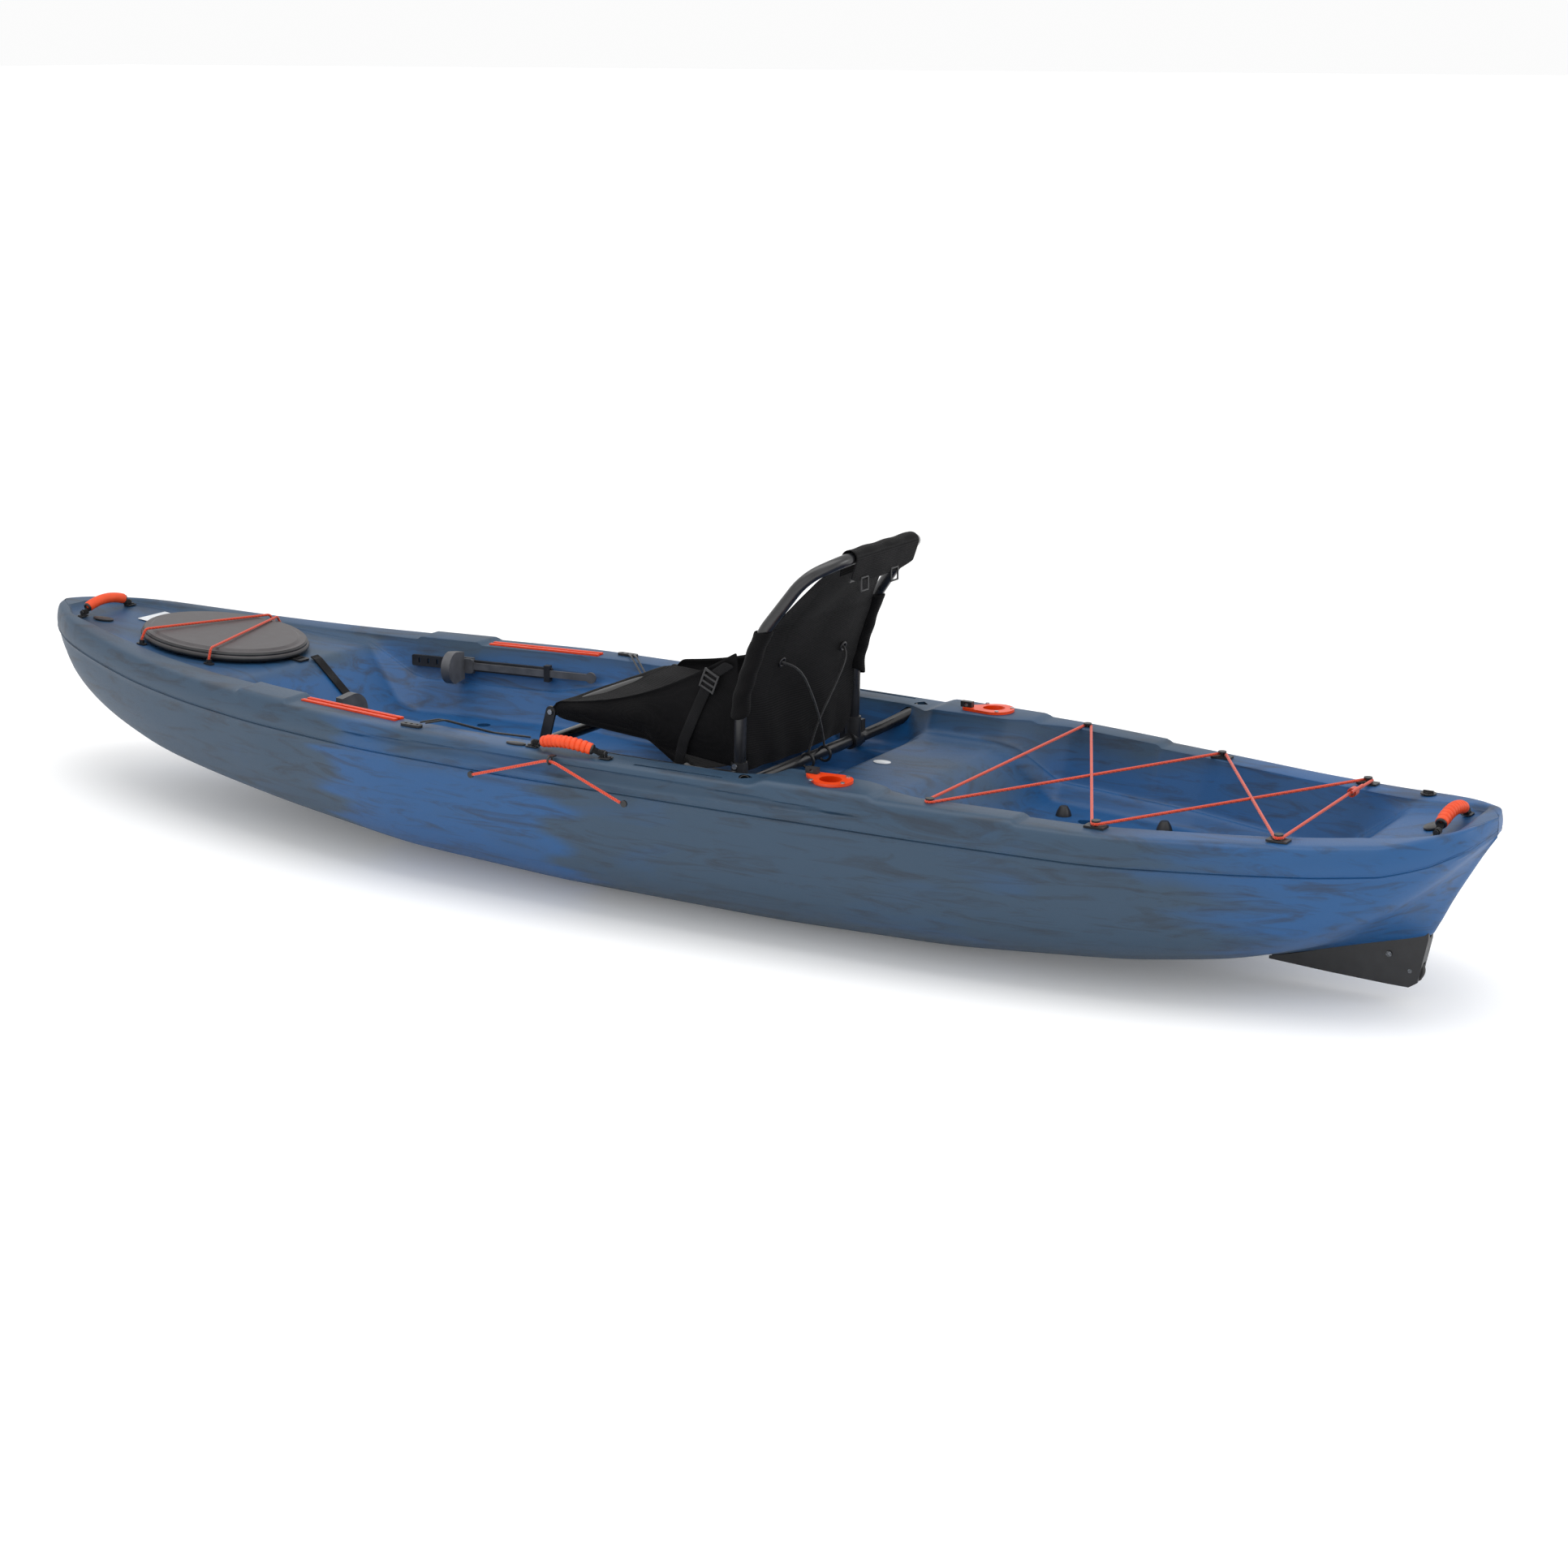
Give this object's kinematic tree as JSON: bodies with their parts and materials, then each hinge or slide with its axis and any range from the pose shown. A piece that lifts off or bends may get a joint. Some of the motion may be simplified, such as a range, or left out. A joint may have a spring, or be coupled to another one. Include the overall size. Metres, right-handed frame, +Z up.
{
  "type": "sit-on-top kayak",
  "caption": "Sit-on-top angling kayak with a framed folding seat, footrests, oval bow hatch, laced tank well, flush rod holders and a wheeled skeg.",
  "frame": {"origin": "on the floor under the middle of the hull, on the centre line", "axes": "+X aft along the keel, +Y to starboard, +Z up"},
  "size_m": [3.564, 0.8878, 0.7584],
  "materials": {
    "hull_plastic": "swirled blue-grey moulded polyethylene",
    "black_plastic": "moulded black nylon",
    "lid_plastic": "dark grey-brown moulded plastic",
    "wheel_rubber": "dark rubber",
    "steel": "stainless steel",
    "orange_plastic": "bright orange plastic",
    "orange_cord": "braided orange shock cord",
    "orange_grip": "orange soft plastic",
    "black_webbing": "black webbing",
    "grey_plastic": "dark grey nylon",
    "black_tube": "satin black coated aluminium tube",
    "seat_fabric": "black woven polyester"
  },
  "bodies": {
    "hull": {"hull_lower": "hull_plastic", "deck": "hull_plastic", "skeg": "black_plastic", "hatch_rim": "black_plastic", "hatch_hooks": "black_plastic", "tankwell_cleats": "black_plastic", "rod_holder_clips": "black_plastic", "keeper_fittings": "black_plastic", "eyelet_plates": "black_plastic", "port_footrest_rail": "black_plastic", "starboard_footrest_rail": "black_plastic", "bow_handle_anchors": "black_plastic", "stern_handle_anchors": "black_plastic", "port_handle_anchors": "black_plastic", "starboard_handle_anchors": "black_plastic", "drain_plug": "black_plastic", "seat_brackets": "black_plastic", "seat_clamps": "black_plastic", "bow_buckle": "black_plastic", "skeg_axle": "steel", "skeg_screws": "steel", "track_screws": "steel", "rod_holder_screws": "steel", "seat_bolts": "steel", "port_track": "orange_plastic", "starboard_track": "orange_plastic", "port_rod_holder": "orange_plastic", "starboard_rod_holder": "orange_plastic", "tankwell_bungee": "orange_cord", "tankwell_knot": "orange_cord", "keeper_bungee": "orange_cord", "bow_strap": "black_webbing", "seat_tethers": "black_webbing", "seat_rear_bar": "black_tube", "seat_base": "black_tube", "seat_pan_frame": "black_tube", "seat_sling": "seat_fabric"},
    "hatch": {"hatch_lid": "lid_plastic", "hatch_bungee": "orange_cord"},
    "wheel": {"skeg_wheel": "wheel_rubber"},
    "seat_back": {"back_frame": "black_tube", "back_collars": "black_plastic", "back_sling": "seat_fabric", "back_buckles": "black_plastic", "back_bolts": "steel"},
    "port_footrest": {"port_footrest_slider": "grey_plastic", "port_footrest_pad": "grey_plastic"},
    "starboard_footrest": {"starboard_footrest_slider": "grey_plastic", "starboard_footrest_pad": "grey_plastic"},
    "bow_handle": {"bow_handle_strap": "black_webbing", "bow_handle_grip": "orange_grip"},
    "stern_handle": {"stern_handle_strap": "black_webbing", "stern_handle_grip": "orange_grip"},
    "port_handle": {"port_handle_strap": "black_webbing", "port_handle_grip": "orange_grip"},
    "starboard_handle": {"starboard_handle_strap": "black_webbing", "starboard_handle_grip": "orange_grip"}
  },
  "joints": [
    {"name": "seat_back_fold", "type": "hinge", "parent": "hull", "child": "seat_back", "pos_m": [0.312, 0, 0.276], "axis": [0, 1, 0], "range_deg": [-60, 10]},
    {"name": "hatch_lift", "type": "slide", "parent": "hull", "child": "hatch", "axis": [0.0872, 0, 0.9962], "range_m": [0, 0.15]},
    {"name": "skeg_wheel_spin", "type": "hinge", "parent": "hull", "child": "wheel", "pos_m": [1.641, 0, 0.065], "axis": [0, 1, 0], "continuous": true},
    {"name": "port_footrest_slide", "type": "slide", "parent": "hull", "child": "port_footrest", "axis": [0.9901, -0.14, 0], "range_m": [-0.16, 0]},
    {"name": "starboard_footrest_slide", "type": "slide", "parent": "hull", "child": "starboard_footrest", "axis": [0.9901, 0.14, 0], "range_m": [-0.09, 0.07]},
    {"name": "bow_handle_swing", "type": "hinge", "parent": "hull", "child": "bow_handle", "pos_m": [-1.65, 0, 0.394], "axis": [0, 1, 0], "range_deg": [-55, 55]},
    {"name": "stern_handle_swing", "type": "hinge", "parent": "hull", "child": "stern_handle", "pos_m": [1.697, 0, 0.3585], "axis": [0, 1, 0], "range_deg": [-55, 50]},
    {"name": "port_handle_swing", "type": "hinge", "parent": "hull", "child": "port_handle", "pos_m": [0.013, -0.392, 0.3535], "axis": [1, 0, 0], "range_deg": [-100, 20]},
    {"name": "starboard_handle_swing", "type": "hinge", "parent": "hull", "child": "starboard_handle", "pos_m": [0.013, 0.392, 0.3535], "axis": [1, 0, 0], "range_deg": [-20, 100]}
  ]
}
